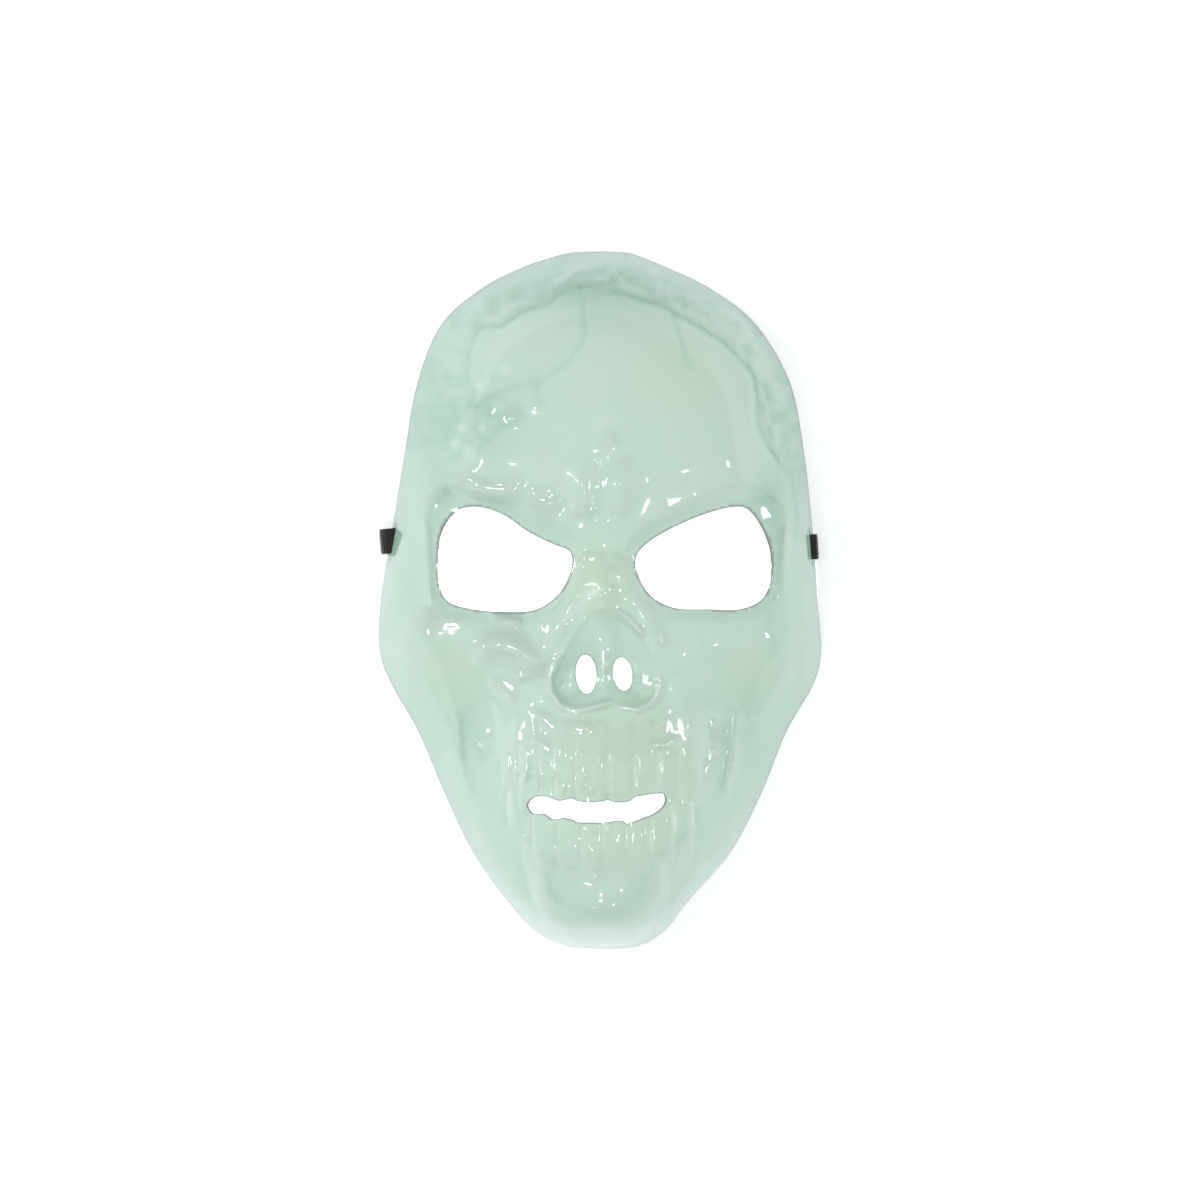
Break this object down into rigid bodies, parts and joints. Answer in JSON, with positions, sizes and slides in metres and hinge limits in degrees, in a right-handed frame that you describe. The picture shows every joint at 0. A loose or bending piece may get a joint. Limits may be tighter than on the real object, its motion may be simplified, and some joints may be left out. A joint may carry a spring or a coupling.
{
  "type": "skull face mask",
  "caption": "Full-face skull mask in thin moulded plastic with open eyes, nose and mouth, held on by an elastic band through side slits.",
  "frame": {"origin": "on the resting surface, under the middle of the mask's outline", "axes": "+X to the right of the front view, +Y towards the forehead, +Z out of the face"},
  "size_m": [0.1713, 0.27, 0.0774],
  "materials": {
    "glossy_plastic": "glossy, slightly translucent pale green sheet, vacuum-formed",
    "black_elastic": "matt black woven elastic with lengthwise ribs"
  },
  "bodies": {
    "root": {"mask_shell": "glossy_plastic", "elastic_band": "black_elastic"}
  },
  "joints": []
}
